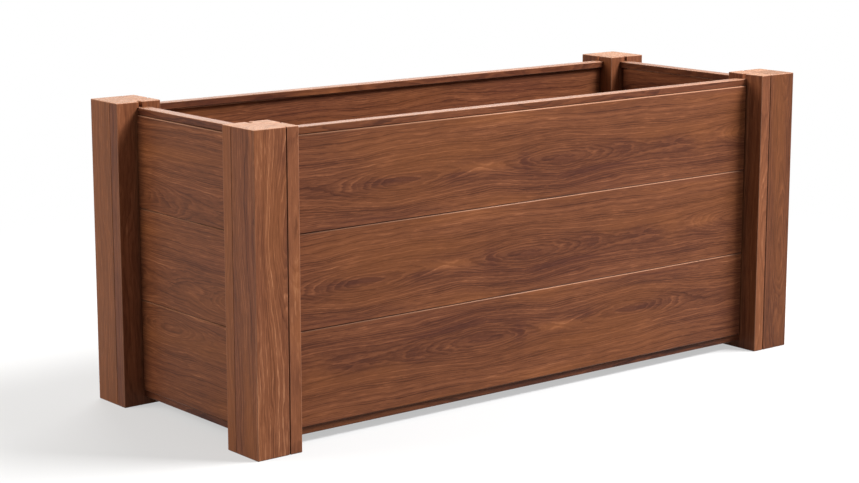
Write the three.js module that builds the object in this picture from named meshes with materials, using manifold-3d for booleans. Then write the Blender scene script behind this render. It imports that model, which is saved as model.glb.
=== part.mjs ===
// A long hardwood window box planter that stands on four corner posts.
//
// Each post is a square core with two stiles keyed to its inner sides. The stiles are grooved, and the grooves take
// the end tongues of the walls: three tongued and grooved boards between a bottom and a top rail. Two cleats on the
// long walls carry the floor slats, and screws lock the bottom boards into the posts.
//
// Millimetres, +Z up. The origin is on the ground under the middle of the box, X runs along it and Y to its back.

import * as THREE from "three";
import { mergeVertices } from "three/addons/utils/BufferGeometryUtils.js";
import Module from "manifold-3d";

const wasm = await Module();
wasm.setup();

// ---------------------------------------------------------------------------------------------------------------
// Driving dimensions
// ---------------------------------------------------------------------------------------------------------------

// Plan, measured over the posts' outer faces.
const LENGTH = 1000;
const DEPTH = 400;

// Posts.
const POST_SIDE = 70;
const STILE_THICKNESS = 20;
const FOOT_HEIGHT = 12; // from the ground up to the bottom rails
const POST_RISE = 8; // from the top rails up to the posts' tops
const POST_ARRIS = 1; // chamfer on the posts' free corners
const JOINT_ARRIS = 0.4; // chamfer on each side of the line between core and stile
const JOINT_LINE_WIDTH = 1.8; // the line itself, a sunk groove on the posts' outer faces
const JOINT_LINE_DEPTH = 4;

// Wall boards.
const BOARDS_PER_WALL = 3;
const BOARD_THICKNESS = 16;
const BOARD_COVER = 130; // height that one board adds to the wall
const BOARD_RECESS = 30; // from the posts' outer faces back to the boards' outer faces
const BOARD_ARRIS = 1.2; // chamfer on the boards' long outer edges

// Rails.
const RAIL_HEIGHT = 10;
const RAIL_SETBACK = 3; // from the boards' outer faces back to the rails' outer faces
const RAIL_OVERHANG = 5; // how far the rails stand past the boards' inner faces
const RAIL_ARRIS = 0.8;

// Joints.
const FIT = 0.3; // clearance between two pieces that meet
const TONGUE_THICKNESS = 5;
const TONGUE_HEIGHT = 5; // tongue on a board's upper edge
const END_TONGUE_LENGTH = 12; // how deep boards and rails reach into the posts
const KEY_WIDTH = 8; // key that holds a stile to its core
const KEY_DEPTH = 6;
const KEY_STOP = 20; // keeps the key out of sight at the post's top and foot

// Floor.
const CLEAT_HEIGHT = 25;
const CLEAT_THICKNESS = 22;
const SLAT_COUNT = 6;
const SLAT_THICKNESS = 16;
const SLAT_GAP = 10; // lets water out
const SLAT_CLEARANCE = 2; // from the slats to the walls and posts

// Screws, one size of head and shank in two lengths.
const SCREW_RADIUS = 1.75;
const SCREW_HEAD_RADIUS = 3.5;
const SCREW_HEAD_HEIGHT = 2;
const SCREW_POINT = 4;
const SCREW_BITE = 10; // how far a screw goes into the piece that it holds
const SCREW_SIDES = 16;
const DRIVE_WIDTH = 0.9; // arms of the cross in the head
const DRIVE_SPAN = 4;
const DRIVE_DEPTH = 1.2;
const SCREWS_PER_CLEAT = 4;
const CLEAT_SCREW_MARGIN = 60; // from a cleat's end to its first screw
const LOCK_SCREW_STAGGER = 16; // keeps the two screws in one post apart in height

// How far a cutting tool runs past the surface that it cuts.
const CUT_PAST = 1;

// ---------------------------------------------------------------------------------------------------------------
// Derived places
// ---------------------------------------------------------------------------------------------------------------

const CORE_SIDE = POST_SIDE - STILE_THICKNESS;
const BOARDS_BOTTOM = FOOT_HEIGHT + RAIL_HEIGHT;
const BOARDS_TOP = BOARDS_BOTTOM + BOARDS_PER_WALL * BOARD_COVER;
const POST_HEIGHT = BOARDS_TOP + RAIL_HEIGHT + POST_RISE;
const LONG_CLEAR = LENGTH - 2 * POST_SIDE; // between the posts of a long wall
const END_CLEAR = DEPTH - 2 * POST_SIDE; // between the posts of an end wall
const BOARD_BACK = BOARD_RECESS + BOARD_THICKNESS; // boards' inner faces, from the posts' outer faces
const TONGUE_PLANE = BOARD_RECESS + BOARD_THICKNESS / 2; // middle of every tongue, measured the same way
const RAIL_FRONT = BOARD_RECESS + RAIL_SETBACK;
const RAIL_BACK = BOARD_BACK + RAIL_OVERHANG;
const LOCK_SCREW_PLACE = POST_SIDE - END_TONGUE_LENGTH / 2; // middle of the end tongues
const LOCK_SCREW_LENGTH = POST_SIDE - TONGUE_PLANE + TONGUE_THICKNESS / 2 + SCREW_BITE;
const LONG_LOCK_HEIGHT = BOARDS_BOTTOM + BOARD_COVER / 2;
const END_LOCK_HEIGHT = LONG_LOCK_HEIGHT + LOCK_SCREW_STAGGER;
const CLEAT_FRONT = BOARD_BACK + FIT;
const CLEAT_BOTTOM = BOARDS_BOTTOM + FIT;
const CLEAT_BACK = CLEAT_FRONT + CLEAT_THICKNESS;
const CLEAT_SCREW_LENGTH = CLEAT_BACK - BOARD_BACK + SCREW_BITE;
const CLEAT_SCREW_HEIGHT = CLEAT_BOTTOM + CLEAT_HEIGHT / 2;
const SLAT_BOTTOM = CLEAT_BOTTOM + CLEAT_HEIGHT + FIT;

// ---------------------------------------------------------------------------------------------------------------
// Finishes
// ---------------------------------------------------------------------------------------------------------------

const OILED_POST = { color: 0x8d573e, roughness: 0.5, metalness: 0 };
const OILED_STILE = { color: 0x8f5a3c, roughness: 0.5, metalness: 0 };
const OILED_BOARD = { color: 0x80513c, roughness: 0.45, metalness: 0 };
const OILED_RAIL = { color: 0x7a4a35, roughness: 0.5, metalness: 0 };
const SAWN_FLOOR = { color: 0x6f4a34, roughness: 0.75, metalness: 0 };
const STAINLESS = { color: 0xb9bbbd, roughness: 0.35, metalness: 1 };

// ---------------------------------------------------------------------------------------------------------------
// Geometry helpers
// ---------------------------------------------------------------------------------------------------------------

// A closed geometry as a solid that can be cut.
function solidOf(geometry) {
  const bare = geometry.clone();
  bare.deleteAttribute("normal");
  bare.deleteAttribute("uv");
  const merged = mergeVertices(bare);
  const vertProperties = merged.attributes.position.array;
  const triVerts = new Uint32Array(merged.index.array);
  return new wasm.Manifold(new wasm.Mesh({ numProp: 3, vertProperties, triVerts }));
}

// The geometry of a blank with every addition joined to it, and then every tool cut away from it.
function shaped(blank, tools, additions = []) {
  const joined = additions.reduce((solid, addition) => solid.add(solidOf(addition)), solidOf(blank));
  const left = tools.reduce((solid, tool) => solid.subtract(solidOf(tool)), joined);
  const mesh = left.getMesh();
  const geometry = new THREE.BufferGeometry();
  geometry.setAttribute("position", new THREE.BufferAttribute(mesh.vertProperties, 3));
  geometry.setIndex(new THREE.BufferAttribute(mesh.triVerts, 1));
  geometry.computeVertexNormals();
  return geometry;
}

// A box between any two opposite corners.
function block([x0, y0, z0], [x1, y1, z1]) {
  const box = new THREE.BoxGeometry(Math.abs(x1 - x0), Math.abs(y1 - y0), Math.abs(z1 - z0));
  return box.translate((x0 + x1) / 2, (y0 + y1) / 2, (z0 + z1) / 2);
}

// Cuts off the corners of a closed outline: corner i loses cuts[i] along each of its two edges.
function easeCorners(outline, cuts) {
  const count = outline.length;
  return outline.flatMap((corner, i) => {
    if (!cuts[i]) return [corner];
    const towards = (other) => corner.clone().add(other.clone().sub(corner).setLength(cuts[i]));
    return [towards(outline[(i + count - 1) % count]), towards(outline[(i + 1) % count])];
  });
}

// A closed outline given as [x, y] pairs and a chamfer for each corner.
function outlineOf(pairs, cuts = []) {
  const corners = pairs.map(([x, y]) => new THREE.Vector2(x, y));
  return new THREE.Shape(easeCorners(corners, cuts));
}

// An outline in plan, raised from one height to another.
function raised(outline, bottom, top) {
  const prism = new THREE.ExtrudeGeometry(outline, { depth: top - bottom, bevelEnabled: false });
  return prism.translate(0, 0, bottom);
}

// An outline in the wall's section, run along the wall and centred on it.
// Outline x becomes the wall's y (inwards) and outline y becomes its z (up).
function runAlong(outline, length) {
  const prism = new THREE.ExtrudeGeometry(outline, { depth: length, bevelEnabled: false });
  const [along, inwards, up] = [new THREE.Vector3(1, 0, 0), new THREE.Vector3(0, 1, 0), new THREE.Vector3(0, 0, 1)];
  prism.translate(0, 0, -length / 2);
  return prism.applyMatrix4(new THREE.Matrix4().makeBasis(inwards, up, along));
}

// One sub-part, with a material of its own.
function piece(name, geometry, finish) {
  const mesh = new THREE.Mesh(geometry, new THREE.MeshStandardMaterial(finish));
  mesh.name = name;
  return mesh;
}

// ---------------------------------------------------------------------------------------------------------------
// Screws
// ---------------------------------------------------------------------------------------------------------------

// A countersunk screw with its head's top at the origin and its point down -Y. The hole for it is the same shape
// grown by the clearance and run out past the surface.
function screwBody(length, clearance = 0) {
  const profile = [
    [0, -length - clearance],
    [SCREW_RADIUS + clearance, SCREW_POINT - length],
    [SCREW_RADIUS + clearance, -SCREW_HEAD_HEIGHT],
    [SCREW_HEAD_RADIUS + clearance, 0],
  ];
  if (clearance) profile.push([SCREW_HEAD_RADIUS + clearance, CUT_PAST], [0, CUT_PAST]);
  else profile.push([0, 0]);
  const points = profile.map(([radius, height]) => new THREE.Vector2(radius, height));
  return new THREE.LatheGeometry(points, SCREW_SIDES);
}

function screw(length) {
  const arm = DRIVE_SPAN / 2;
  const half = DRIVE_WIDTH / 2;
  const cross = [
    block([-arm, -DRIVE_DEPTH, -half], [arm, CUT_PAST, half]),
    block([-half, -DRIVE_DEPTH, -arm], [half, CUT_PAST, arm]),
  ];
  return shaped(screwBody(length), cross);
}

const screwHole = (length) => screwBody(length, FIT);

// Where the screws of one cleat stand along the wall.
function cleatScrewPlaces() {
  const span = LONG_CLEAR - 2 * FIT - 2 * CLEAT_SCREW_MARGIN;
  return Array.from({ length: SCREWS_PER_CLEAT }, (_, i) => span * (i / (SCREWS_PER_CLEAT - 1) - 0.5));
}

// ---------------------------------------------------------------------------------------------------------------
// Posts, in plan coordinates from the outer corner: x runs along the long wall, y along the end wall
// ---------------------------------------------------------------------------------------------------------------

// The groove in a post that takes a wall's end tongues. It stops under the bottom rail, which rests on its end.
function panelGrooves() {
  const half = TONGUE_THICKNESS / 2 + FIT;
  const [near, far] = [POST_SIDE - END_TONGUE_LENGTH, POST_SIDE + CUT_PAST];
  const [bottom, top] = [FOOT_HEIGHT - FIT, POST_HEIGHT + CUT_PAST];
  return {
    long: block([near, TONGUE_PLANE - half, bottom], [far, TONGUE_PLANE + half, top]),
    end: block([TONGUE_PLANE - half, near, bottom], [TONGUE_PLANE + half, far, top]),
  };
}

// A lock screw's shape, or its hole's, moved to its place in a post.
const atLongLock = (shape) => shape.translate(LOCK_SCREW_PLACE, POST_SIDE, LONG_LOCK_HEIGHT);
const atEndLock = (shape) => shape.rotateZ(-Math.PI / 2).translate(POST_SIDE, LOCK_SCREW_PLACE, END_LOCK_HEIGHT);

// The keys that hold the long and the end stile to the core, or with a clearance the grooves that they fit in.
function keys(clearance) {
  const [low, high] = [(CORE_SIDE - KEY_WIDTH) / 2 - clearance, (CORE_SIDE + KEY_WIDTH) / 2 + clearance];
  const [tip, root] = [CORE_SIDE - KEY_DEPTH + FIT - clearance, CORE_SIDE + FIT + CUT_PAST];
  const [bottom, top] = [KEY_STOP - clearance, POST_HEIGHT - KEY_STOP + clearance];
  return {
    long: block([tip, low, bottom], [root, high, top]),
    end: block([low, tip, bottom], [high, root, top]),
  };
}

// A square core with a key groove in each of its two inner sides.
function postCore() {
  const square = [
    [0, 0],
    [CORE_SIDE, 0],
    [CORE_SIDE, CORE_SIDE],
    [0, CORE_SIDE],
  ];
  const outline = outlineOf(square, [POST_ARRIS, JOINT_ARRIS, 0, JOINT_ARRIS]);
  const groove = keys(FIT);
  return shaped(raised(outline, 0, POST_HEIGHT), [groove.long, groove.end]);
}

// The stile that takes the long wall: it covers the post's whole side. Its outer edge stops short of the core and
// leaves the sunk joint line.
function longStile(groove, holes) {
  const [joint, lip] = [CORE_SIDE + FIT, CORE_SIDE + JOINT_LINE_WIDTH];
  const strip = [
    [lip, 0],
    [POST_SIDE, 0],
    [POST_SIDE, POST_SIDE],
    [joint, POST_SIDE],
    [joint, JOINT_LINE_DEPTH],
    [lip, JOINT_LINE_DEPTH],
  ];
  const outline = outlineOf(strip, [JOINT_ARRIS, POST_ARRIS, POST_ARRIS, JOINT_ARRIS, 0, 0]);
  return shaped(raised(outline, 0, POST_HEIGHT), [groove, ...holes], [keys(0).long]);
}

// The stile that takes the end wall: it covers the core's side and ends against the long stile.
function endStile(groove, holes) {
  const [joint, lip] = [CORE_SIDE + FIT, CORE_SIDE + JOINT_LINE_WIDTH];
  const strip = [
    [0, lip],
    [JOINT_LINE_DEPTH, lip],
    [JOINT_LINE_DEPTH, joint],
    [CORE_SIDE, joint],
    [CORE_SIDE, POST_SIDE],
    [0, POST_SIDE],
  ];
  const outline = outlineOf(strip, [JOINT_ARRIS, 0, 0, 0, JOINT_ARRIS, POST_ARRIS]);
  return shaped(raised(outline, 0, POST_HEIGHT), [groove, ...holes], [keys(0).end]);
}

// One corner's post and its two lock screws.
function post(corner) {
  const group = new THREE.Group();
  const groove = panelGrooves();
  const longHole = atLongLock(screwHole(LOCK_SCREW_LENGTH));
  const endHole = atEndLock(screwHole(LOCK_SCREW_LENGTH));
  group.add(
    piece(`${corner}_post_core`, postCore(), OILED_POST),
    piece(`${corner}_post_long_stile`, longStile(groove.long, [longHole, endHole]), OILED_STILE),
    piece(`${corner}_post_end_stile`, endStile(groove.end, [endHole]), OILED_STILE),
    piece(`${corner}_long_lock_screw`, atLongLock(screw(LOCK_SCREW_LENGTH)), STAINLESS),
    piece(`${corner}_end_lock_screw`, atEndLock(screw(LOCK_SCREW_LENGTH)), STAINLESS),
  );
  return group;
}

// ---------------------------------------------------------------------------------------------------------------
// Walls, in the wall's own frame: x along it, y inwards from the posts' outer faces, z up
// ---------------------------------------------------------------------------------------------------------------

// Section of a board or rail. A groove under it takes the tongue of the piece below.
function wallSection({ front, back, bottom, top, arris, grooved, tongued }) {
  const grooveHalf = TONGUE_THICKNESS / 2 + FIT;
  const tongueHalf = TONGUE_THICKNESS / 2;
  const groove = [
    [TONGUE_PLANE - grooveHalf, bottom],
    [TONGUE_PLANE - grooveHalf, bottom + TONGUE_HEIGHT],
    [TONGUE_PLANE + grooveHalf, bottom + TONGUE_HEIGHT],
    [TONGUE_PLANE + grooveHalf, bottom],
  ];
  const tongue = [
    [TONGUE_PLANE + tongueHalf, top],
    [TONGUE_PLANE + tongueHalf, top + TONGUE_HEIGHT],
    [TONGUE_PLANE - tongueHalf, top + TONGUE_HEIGHT],
    [TONGUE_PLANE - tongueHalf, top],
  ];
  const under = grooved ? groove : [];
  const over = tongued ? tongue : [];
  const pairs = [[front, bottom], ...under, [back, bottom], [back, top], ...over, [front, top]];
  const cuts = pairs.map(([y]) => (y === front ? arris : 0));
  return outlineOf(pairs, cuts);
}

// What is cut off both ends of a board or rail to leave its end tongues.
function endCheeks(clear, { front, back, bottom, top }) {
  const [low, high] = [bottom - CUT_PAST, top + TONGUE_HEIGHT + CUT_PAST];
  const [shoulder, past] = [clear / 2 - FIT, clear / 2 + END_TONGUE_LENGTH + CUT_PAST];
  const cheeks = [
    [front - CUT_PAST, TONGUE_PLANE - TONGUE_THICKNESS / 2],
    [TONGUE_PLANE + TONGUE_THICKNESS / 2, back + CUT_PAST],
  ];
  const ends = [
    [-past, -shoulder],
    [shoulder, past],
  ];
  return ends.flatMap(([x0, x1]) => cheeks.map(([y0, y1]) => block([x0, y0, low], [x1, y1, high])));
}

// A board or rail that reaches from post to post, with any further cuts.
function wallPiece(clear, section, cuts = []) {
  const length = clear + 2 * (END_TONGUE_LENGTH - FIT);
  return shaped(runAlong(wallSection(section), length), [...endCheeks(clear, section), ...cuts]);
}

// The holes that the lock screws need in the end tongues of a bottom board.
function lockHoles(clear, height) {
  const radius = SCREW_RADIUS + FIT;
  const place = clear / 2 + END_TONGUE_LENGTH / 2;
  return [-place, place].map((x) => {
    const drill = new THREE.CylinderGeometry(radius, radius, BOARD_THICKNESS, SCREW_SIDES);
    return drill.translate(x, TONGUE_PLANE, height);
  });
}

// Bottom rail, boards and top rail of one wall.
function wall(name, clear, lockHeight, bottomBoardHoles = []) {
  const group = new THREE.Group();
  const rail = { front: RAIL_FRONT, back: RAIL_BACK, arris: RAIL_ARRIS };
  const lower = { ...rail, bottom: FOOT_HEIGHT, top: BOARDS_BOTTOM, tongued: true };
  const upper = { ...rail, bottom: BOARDS_TOP + FIT, top: BOARDS_TOP + RAIL_HEIGHT, grooved: true };
  group.add(piece(`${name}_bottom_rail`, wallPiece(clear, lower), OILED_RAIL));
  for (let i = 0; i < BOARDS_PER_WALL; i++) {
    const board = {
      front: BOARD_RECESS,
      back: BOARD_BACK,
      bottom: BOARDS_BOTTOM + i * BOARD_COVER + FIT,
      top: BOARDS_BOTTOM + (i + 1) * BOARD_COVER,
      arris: BOARD_ARRIS,
      grooved: true,
      tongued: true,
    };
    const holes = i === 0 ? [...lockHoles(clear, lockHeight), ...bottomBoardHoles] : [];
    group.add(piece(`${name}_board_${i + 1}`, wallPiece(clear, board, holes), OILED_BOARD));
  }
  group.add(piece(`${name}_top_rail`, wallPiece(clear, upper), OILED_RAIL));
  return group;
}

// A long wall also carries a cleat for the floor, screwed to its bottom board.
function longWall(name) {
  const at = (shape, x) => shape.translate(x, CLEAT_BACK, CLEAT_SCREW_HEIGHT);
  const places = cleatScrewPlaces();
  const holes = places.map((x) => at(screwHole(CLEAT_SCREW_LENGTH), x));
  const group = wall(name, LONG_CLEAR, LONG_LOCK_HEIGHT, holes);
  const end = LONG_CLEAR / 2 - FIT;
  const strip = block([-end, CLEAT_FRONT, CLEAT_BOTTOM], [end, CLEAT_BACK, CLEAT_BOTTOM + CLEAT_HEIGHT]);
  group.add(piece(`${name}_cleat`, shaped(strip, holes), SAWN_FLOOR));
  places.forEach((x, i) => {
    group.add(piece(`${name}_cleat_screw_${i + 1}`, at(screw(CLEAT_SCREW_LENGTH), x), STAINLESS));
  });
  return group;
}

// ---------------------------------------------------------------------------------------------------------------
// Floor
// ---------------------------------------------------------------------------------------------------------------

// One slat across the box. Where it passes between the posts it is notched round them.
function floorSlat(x0, x1) {
  const y = DEPTH / 2 - BOARD_BACK - SLAT_CLEARANCE;
  const blank = block([x0, -y, SLAT_BOTTOM], [x1, y, SLAT_BOTTOM + SLAT_THICKNESS]);
  const postX = LONG_CLEAR / 2 - SLAT_CLEARANCE;
  const postY = END_CLEAR / 2 - SLAT_CLEARANCE;
  const [low, high] = [SLAT_BOTTOM - CUT_PAST, SLAT_BOTTOM + SLAT_THICKNESS + CUT_PAST];
  const notches = [-1, 1].flatMap((sx) =>
    [-1, 1].map((sy) => block([sx * postX, sy * postY, low], [(sx * LENGTH) / 2, (sy * DEPTH) / 2, high])),
  );
  return shaped(blank, notches);
}

function floor() {
  const group = new THREE.Group();
  const reach = LENGTH / 2 - BOARD_BACK - SLAT_CLEARANCE;
  const width = (2 * reach - (SLAT_COUNT - 1) * SLAT_GAP) / SLAT_COUNT;
  for (let i = 0; i < SLAT_COUNT; i++) {
    const left = i * (width + SLAT_GAP) - reach;
    group.add(piece(`floor_slat_${i + 1}`, floorSlat(left, left + width), SAWN_FLOOR));
  }
  return group;
}

// ---------------------------------------------------------------------------------------------------------------
// Assembly
// ---------------------------------------------------------------------------------------------------------------

const planter = new THREE.Group();

// Every post is the front left one, mirrored into its own corner.
for (const [corner, sx, sy] of [
  ["front_left", 1, 1],
  ["front_right", -1, 1],
  ["back_left", 1, -1],
  ["back_right", -1, -1],
]) {
  const group = post(corner);
  group.position.set((-sx * LENGTH) / 2, (-sy * DEPTH) / 2, 0);
  group.scale.set(sx, sy, 1);
  planter.add(group);
}

// Every wall is turned so that its y axis points into the box.
for (const [group, x, y, turn] of [
  [longWall("front"), 0, -DEPTH / 2, 0],
  [longWall("back"), 0, DEPTH / 2, Math.PI],
  [wall("left", END_CLEAR, END_LOCK_HEIGHT), -LENGTH / 2, 0, -Math.PI / 2],
  [wall("right", END_CLEAR, END_LOCK_HEIGHT), LENGTH / 2, 0, Math.PI / 2],
]) {
  group.position.set(x, y, 0);
  group.rotation.z = turn;
  planter.add(group);
}

planter.add(floor());

export default planter;
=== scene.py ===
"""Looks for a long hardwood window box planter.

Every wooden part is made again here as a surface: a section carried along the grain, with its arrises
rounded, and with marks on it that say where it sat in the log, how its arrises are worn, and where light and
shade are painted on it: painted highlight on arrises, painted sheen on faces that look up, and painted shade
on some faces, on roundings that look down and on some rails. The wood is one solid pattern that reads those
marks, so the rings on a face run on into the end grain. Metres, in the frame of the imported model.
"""

import math

import bmesh
import bpy
import numpy as np
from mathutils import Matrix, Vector


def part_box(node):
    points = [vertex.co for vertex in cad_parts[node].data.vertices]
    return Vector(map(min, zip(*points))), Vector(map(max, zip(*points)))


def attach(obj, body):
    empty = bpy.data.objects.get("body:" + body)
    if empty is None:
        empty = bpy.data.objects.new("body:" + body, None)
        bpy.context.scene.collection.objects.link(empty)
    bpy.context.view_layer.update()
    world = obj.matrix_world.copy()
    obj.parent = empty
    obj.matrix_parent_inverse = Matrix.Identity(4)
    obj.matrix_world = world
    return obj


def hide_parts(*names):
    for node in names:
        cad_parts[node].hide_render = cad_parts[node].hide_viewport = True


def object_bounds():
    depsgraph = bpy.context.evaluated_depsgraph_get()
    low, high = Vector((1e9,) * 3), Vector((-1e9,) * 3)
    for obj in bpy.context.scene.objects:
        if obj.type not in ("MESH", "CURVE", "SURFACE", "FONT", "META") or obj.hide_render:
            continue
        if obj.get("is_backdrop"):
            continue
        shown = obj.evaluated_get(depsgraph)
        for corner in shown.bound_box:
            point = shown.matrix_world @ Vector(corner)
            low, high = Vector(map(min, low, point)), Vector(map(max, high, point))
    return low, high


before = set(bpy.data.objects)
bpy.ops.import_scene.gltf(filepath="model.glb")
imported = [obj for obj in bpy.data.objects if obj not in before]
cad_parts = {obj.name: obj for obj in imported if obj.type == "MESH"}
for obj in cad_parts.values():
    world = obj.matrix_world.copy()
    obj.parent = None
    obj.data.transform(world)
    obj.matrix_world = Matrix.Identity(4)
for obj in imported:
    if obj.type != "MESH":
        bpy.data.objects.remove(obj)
cad_low, cad_high = (np.array(corner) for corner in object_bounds())

MM = 0.001

# ================ Driving sizes and settings ================

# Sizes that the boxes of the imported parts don't give.
FIT = 0.3 * MM  # clearance between two pieces that meet
TONGUE_THICKNESS = 5 * MM
TONGUE_HEIGHT = 5 * MM
END_TONGUE_LENGTH = 12 * MM
SHOULDER_GAP = 3.0 * MM  # dark line between the end of a board and its post
JOINT_LINE_WIDTH = 1.8 * MM  # sunk line between a post's core and its stiles
END_JOINT_LINE_WIDTH = 1.1 * MM  # the same line on the left and right faces, where it shows finer
JOINT_LINE_DEPTH = 4 * MM
KEY_WIDTH = 8 * MM
KEY_DEPTH = 6 * MM
KEY_STOP = 20 * MM  # height of plain wood above and below a key
SLAT_CLEARANCE = 2 * MM  # between the end slats and the posts
SCREW_RADIUS = 1.75 * MM
SCREW_HEAD_RADIUS = 3.5 * MM
SCREW_HEAD_HEIGHT = 2 * MM
SCREW_POINT = 4 * MM
SCREW_SIDES = 32
SCREW_RIM = 0.3 * MM  # over which the edge of the head is eased
DRIVE_WIDTH = 0.9 * MM
DRIVE_SPAN = 4 * MM
DRIVE_DEPTH = 1.2 * MM
DRIVE_TAPER = 0.35  # share of its size that the cross loses on the way down
HOLE_MOUTH = 1 * MM  # how far a hole's shape stands out of the wood before it is cut away

# Rounding of the arrises.
POST_ROUND = 1.1 * MM
JOINT_ROUND = 0.45 * MM
BOARD_ROUND = 1.3 * MM
RAIL_ROUND = 0.9 * MM
FLOOR_ROUND = 1.5 * MM
ARC_STEPS = 4  # flats in one rounded corner
HAIR = 0.0001 * MM  # far less than any gap
SAME_POINT = 0.002 * MM  # points nearer than this are one point
SMOOTH_BELOW = 0.9  # a screw's face is shaded smooth where less than this share of its normal is along it

CORNERS = {"front_left": (1, 1), "front_right": (-1, 1), "back_left": (1, -1), "back_right": (-1, -1)}
WALLS = ("front", "back", "left", "right")
LONG_WALLS = ("front", "back")
BOARDS = (1, 2, 3)  # from the ground up
CLEAT_SCREWS = (1, 2, 3, 4)

# How the wood is worn, and the light and shade painted on it.
FLAT = 0.999  # a face is part of a rounding where no axis carries this share of its normal
CROSS_FACE_SHADE = 0.20  # painted shade: how much darker a face is that looks across the grain, such as a post's left and right faces
UNDERSIDE_SHADE = 0.55  # painted shade: how much darker the roundings are that look down, in the joints
SIDEWAYS_WEAR_AND_HIGHLIGHT = 0.35  # wear of an arris that looks sideways, against 1 for one that looks up and so also gets painted highlight
SEAM_WEAR_AND_HIGHLIGHT = {"front": 1.0, "back": 1.0, "left": 0.3, "right": 0.5}  # wear and painted highlight of the arrises at the seams of each wall
BOTTOM_RAIL_SHADE = 0.50  # painted shade: the bottom rails, set back under the boards, are made dark
# Painted shade: the top rails of the back and right walls, whose inner faces lie in the shade of the box, are
# made darker.
TOP_RAIL_SHADES = {"front": 1.0, "back": 0.85, "left": 1.0, "right": 0.65}

# Where each visible piece lay in the log: metres along it (start), behind the face (cut) and across (rise),
# and which way round. tone makes it lighter or darker, and warmth redder.
LAID = {
    "front_board_3": {"start": 0.0, "rise": 0.008},
    "front_board_2": {"start": 0.062, "rise": 0.008},
    "front_board_1": {"start": 0.81, "rise": 0.008, "turned": True},
    "left_board_3": {"start": 0.98, "rise": 0.045, "warmth": 0.25},
    "left_board_2": {"start": 1.10, "rise": 0.030, "warmth": 0.25},
    "left_board_1": {"start": 1.75, "rise": 0.038, "turned": True, "warmth": 0.25},
    "back_board_3": {"start": 0.80, "rise": -0.012, "turned": True},
    "back_board_2": {"start": 1.90, "rise": 0.020, "turned": True},
    "back_board_1": {"start": 0.95, "rise": -0.020},
    "right_board_3": {"start": 0.35, "rise": -0.015},
    "right_board_2": {"start": 1.25, "rise": 0.022},
    "right_board_1": {"start": 0.65, "rise": 0.010, "turned": True},
    "front_left_post_core": {"start": -0.11, "rise": -0.053, "tone": 1.06},
    "front_left_post_long_stile": {"start": 0.60, "rise": -0.060, "tone": 1.15},
    "front_left_post_end_stile": {"start": 0.30, "rise": -0.040, "tone": 1.20},
    "front_right_post_core": {"start": 1.20, "rise": -0.020, "tone": 0.57, "warmth": 0.3},
    "front_right_post_long_stile": {"start": 1.50, "rise": -0.050, "tone": 1.04},
    "back_left_post_core": {"start": 0.75, "rise": -0.070, "cut": 0.010, "tone": 0.89, "warmth": 1.0},
    "back_right_post_core": {"start": 1.60, "rise": 0.010},
    "back_right_post_long_stile": {"start": 0.20, "rise": 0.020, "tone": 0.85},
    "back_right_post_end_stile": {"start": 0.70, "rise": -0.015, "tone": 0.90},
}
# The other pieces are spread over the log by the letters of their names.
LAID_START_STEP = 0.137
LAID_STARTS = 13
LAID_RISE_STEP = 0.009
LAID_RISES = 7
LAID_FIRST_WEIGHT = 3  # of a name's first letter, and each next one weighs one more

# Light. A lamp stands at an azimuth, from the front towards the right, and an elevation, both in degrees.
LAMP_DISTANCE = 4.0
LAMPS = {
    "key": {"azimuth": 48, "elevation": 50, "size": 1.6, "level": 1.98},
    "fill": {
        "azimuth": -115,
        "elevation": 25,
        "size": 2.0,
        "level": 0.57,
        "colour": (1.0, 0.95, 0.86),
        "mirrored": False,
    },
    "back": {"azimuth": 150, "elevation": 40, "size": 2.4, "level": 0.58},
}
AMBIENT = 0.30  # strength of the even light from all round
FLOOR_REACH = 30.0
FLOOR_COLOUR = (0.62, 0.62, 0.62, 1.0)  # as the camera and reflections see it
FLOOR_BOUNCE = (0.22, 0.22, 0.22, 1.0)  # for the light that it throws back on the box
FLOOR_ROUGHNESS = 0.8
FLOOR_SPECULAR = 0.2
SHADOW_REACH = (0.7, 1.5)  # metres from the middle over which the floor turns plain white
SHADOW_WHITENING = 0.5

# The camera, fitted to the lines of the photo.
CAMERA_PLACE = (-1.9772, -2.3843, 0.8045)
CAMERA_YAW = 51.145  # degrees from +X towards +Y
CAMERA_PITCH = 11.102  # degrees downwards
CAMERA_LENS = 89.21

# ================ Sections and the surfaces carried along them ================


def eased(corners, radii):
    """Round the corners of a closed outline, given counter-clockwise as (n, 2).

    Corner p lies between unit edge directions a (arriving) and b (leaving). Its arc starts at p - a·t and
    ends at p + b·t with t = r·tan(turn / 2), and a point of it is
    c + r·(n_a·sin((1 - u)·turn) + n_b·sin(u·turn)) / sin(turn), where n_a and n_b point from the arc's centre
    c to its two ends and u runs from 0 to 1.
    """
    corners = np.asarray(corners, float)
    radii = np.asarray(radii, float)[:, None]
    arriving = corners - np.roll(corners, 1, axis=0)
    arriving /= np.linalg.norm(arriving, axis=1, keepdims=True)
    leaving = np.roll(arriving, -1, axis=0)
    cross = arriving[:, :1] * leaving[:, 1:] - arriving[:, 1:] * leaving[:, :1]
    turn = np.arctan2(cross, (arriving * leaving).sum(axis=1, keepdims=True))
    side = np.sign(turn)
    start_normal = side * np.stack([arriving[:, 1], -arriving[:, 0]], axis=1)
    end_normal = side * np.stack([leaving[:, 1], -leaving[:, 0]], axis=1)
    start = corners - arriving * radii * np.tan(abs(turn) / 2)
    centre = start - start_normal * radii
    u = np.linspace(0, 1, ARC_STEPS + 1)[None, :, None]
    sweep = abs(turn)[:, None, :]
    towards = start_normal[:, None] * np.sin((1 - u) * sweep) + end_normal[:, None] * np.sin(u * sweep)
    return (centre[:, None] + radii[:, None] * (towards / np.sin(sweep))).reshape(-1, 2)


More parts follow.
